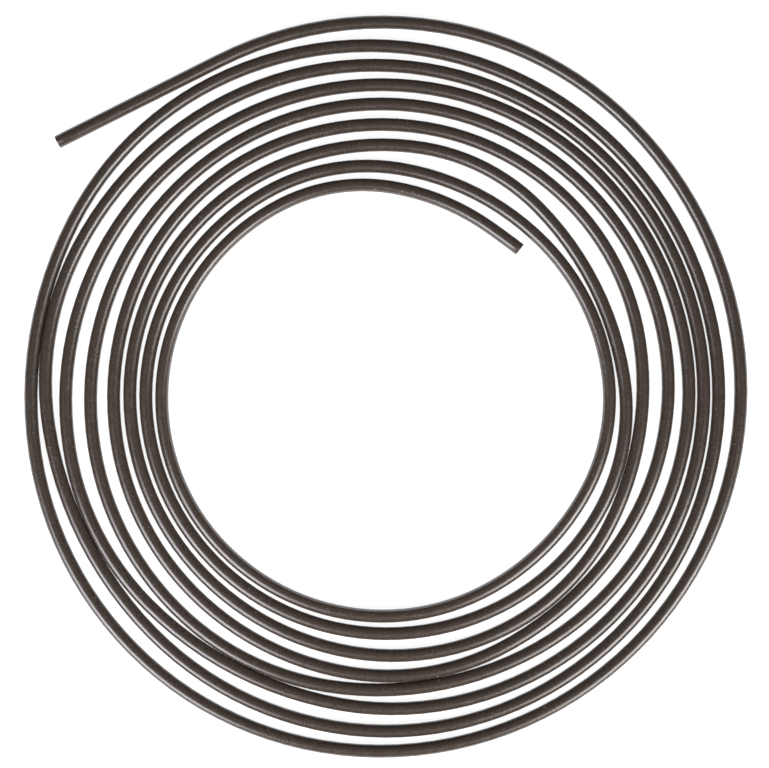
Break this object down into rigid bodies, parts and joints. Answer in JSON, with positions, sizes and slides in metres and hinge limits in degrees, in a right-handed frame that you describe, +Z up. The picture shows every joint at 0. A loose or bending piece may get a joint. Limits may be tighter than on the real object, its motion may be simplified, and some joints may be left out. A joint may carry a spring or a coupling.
{
  "type": "brake line",
  "caption": "Plain steel brake tube in a loose flat coil of slightly uneven turns, with bare square-cut ends and one end left straight.",
  "frame": {"origin": "on the ground under the middle of the flat coil's outline", "axes": "+Z up, square to the flat coil; -X along the straight outer end to its cut face; the coil opens anticlockwise seen from above"},
  "size_m": [0.3522, 0.3576, 0.0063],
  "materials": {
    "coating": "satin"
  },
  "bodies": {
    "root": {"brake_tube": "coating"}
  },
  "joints": []
}
